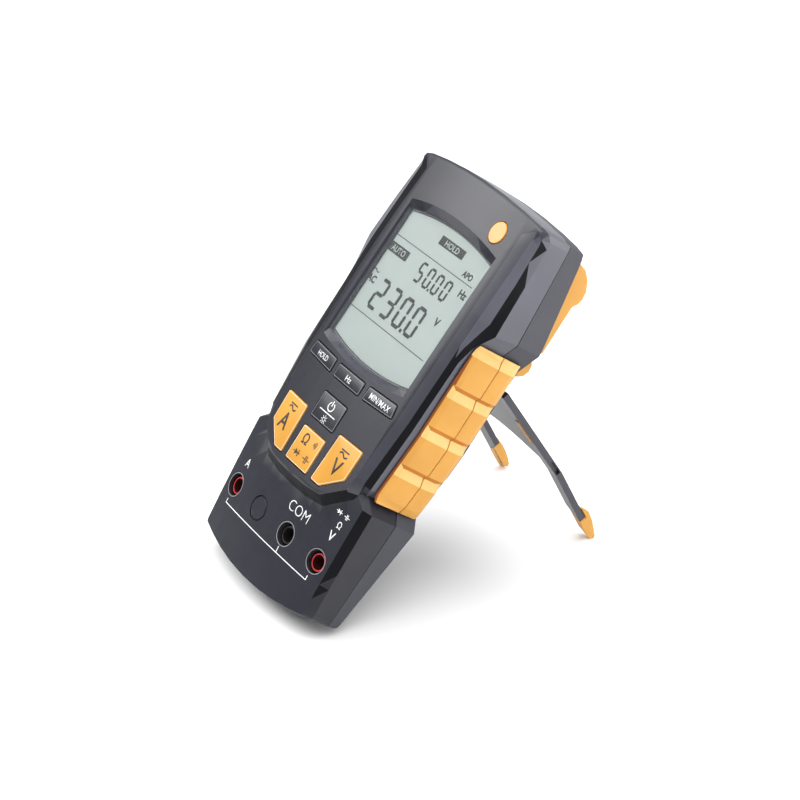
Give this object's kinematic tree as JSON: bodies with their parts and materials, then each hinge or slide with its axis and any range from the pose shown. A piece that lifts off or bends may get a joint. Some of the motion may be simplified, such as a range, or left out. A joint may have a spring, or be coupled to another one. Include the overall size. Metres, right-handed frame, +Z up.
{
  "type": "digital multimeter",
  "caption": "Handheld digital multimeter leaning on a folding rear stand, with display, push keys, side grips and three input sockets.",
  "frame": {"origin": "centre of the assembly's bounding box at the table top", "axes": "+Z up from the table; -Y towards the reader, the way the leaning face looks; +X to the reader's right"},
  "size_m": [0.0834, 0.1364, 0.1455],
  "materials": {
    "case_plastic": "fine satin texture",
    "seal_rubber": "matte",
    "badge_plastic": "gloss",
    "window_plastic": "clear, slightly frosted",
    "lcd_glass": "grey-green liquid crystal",
    "contact_strip_silicone": "matte",
    "amber_key_plastic": "satin",
    "grey_key_plastic": "satin",
    "key_mat_silicone": "matte",
    "board_laminate": "satin solder mask",
    "chip_epoxy": "matte",
    "socket_liner": "satin",
    "sleeve_red": "satin",
    "sleeve_black": "satin",
    "brass_contact": "plated",
    "plated_steel": "bright zinc plate",
    "tray_plastic": "matte",
    "cell_sleeve": "gloss film",
    "fuse_ceramic": "glazed",
    "grip_elastomer": "soft matte",
    "stand_plastic": "satin"
  },
  "bodies": {
    "case": {"badge": "badge_plastic", "battery_cover": "case_plastic", "battery_spring_1": "plated_steel", "battery_spring_2": "plated_steel", "battery_spring_3": "plated_steel", "battery_tray": "tray_plastic", "buzzer": "chip_epoxy", "case_screw_lower_left": "plated_steel", "case_screw_lower_right": "plated_steel", "case_screw_upper_left": "plated_steel", "case_screw_upper_right": "plated_steel", "case_seal": "seal_rubber", "cell_1": "cell_sleeve", "cell_2": "cell_sleeve", "cell_3": "cell_sleeve", "contact_common": "brass_contact", "contact_current": "brass_contact", "contact_plate_lower": "plated_steel", "contact_plate_upper": "plated_steel", "contact_voltage": "brass_contact", "cover_screw_left": "plated_steel", "cover_screw_right": "plated_steel", "display_strip": "contact_strip_silicone", "display_window": "window_plastic", "front_shell": "case_plastic", "fuse": "fuse_ceramic", "fuse_clip_lower": "brass_contact", "fuse_clip_upper": "brass_contact", "grip_left_front": "grip_elastomer", "grip_left_rear": "grip_elastomer", "grip_right_front": "grip_elastomer", "grip_right_rear": "grip_elastomer", "hinge_pin": "plated_steel", "key_mat": "key_mat_silicone", "lcd_module": "lcd_glass", "main_board": "board_laminate", "processor": "chip_epoxy", "rear_lug_left": "grip_elastomer", "rear_lug_right": "grip_elastomer", "rear_rail_left": "grip_elastomer", "rear_rail_right": "grip_elastomer", "rear_shell": "case_plastic", "sleeve_common": "sleeve_black", "sleeve_current": "sleeve_red", "sleeve_voltage": "sleeve_red", "socket_common": "socket_liner", "socket_current": "socket_liner", "socket_voltage": "socket_liner"},
    "stand": {"stand": "stand_plastic", "foot_left": "grip_elastomer", "foot_right": "grip_elastomer", "stand_pad_left": "grip_elastomer", "stand_pad_right": "grip_elastomer"},
    "key_voltage": {"key_voltage": "amber_key_plastic"},
    "key_current": {"key_current": "amber_key_plastic"},
    "key_resistance": {"key_resistance": "amber_key_plastic"},
    "key_power": {"key_power": "grey_key_plastic"},
    "key_hold": {"key_hold": "grey_key_plastic"},
    "key_min_max": {"key_min_max": "grey_key_plastic"},
    "key_frequency": {"key_frequency": "grey_key_plastic"}
  },
  "joints": [
    {"name": "stand_hinge", "type": "hinge", "parent": "case", "child": "stand", "pos_m": [0, 0.01733, 0.07868], "axis": [-1, 0, 0], "range_deg": [0, 69.5]},
    {"name": "key_voltage_press", "type": "slide", "parent": "case", "child": "key_voltage", "axis": [0, 0.8141, -0.5807], "range_m": [0, 0.0008], "stiffness_N_per_m": 400},
    {"name": "key_current_press", "type": "slide", "parent": "case", "child": "key_current", "axis": [0, 0.8141, -0.5807], "range_m": [0, 0.0008], "stiffness_N_per_m": 400},
    {"name": "key_resistance_press", "type": "slide", "parent": "case", "child": "key_resistance", "axis": [0, 0.8141, -0.5807], "range_m": [0, 0.0008], "stiffness_N_per_m": 400},
    {"name": "key_power_press", "type": "slide", "parent": "case", "child": "key_power", "axis": [0, 0.8141, -0.5807], "range_m": [0, 0.0008], "stiffness_N_per_m": 400},
    {"name": "key_hold_press", "type": "slide", "parent": "case", "child": "key_hold", "axis": [0, 0.8141, -0.5807], "range_m": [0, 0.0008], "stiffness_N_per_m": 400},
    {"name": "key_min_max_press", "type": "slide", "parent": "case", "child": "key_min_max", "axis": [0, 0.8141, -0.5807], "range_m": [0, 0.0008], "stiffness_N_per_m": 400},
    {"name": "key_frequency_press", "type": "slide", "parent": "case", "child": "key_frequency", "axis": [0, 0.8141, -0.5807], "range_m": [0, 0.0008], "stiffness_N_per_m": 400}
  ]
}
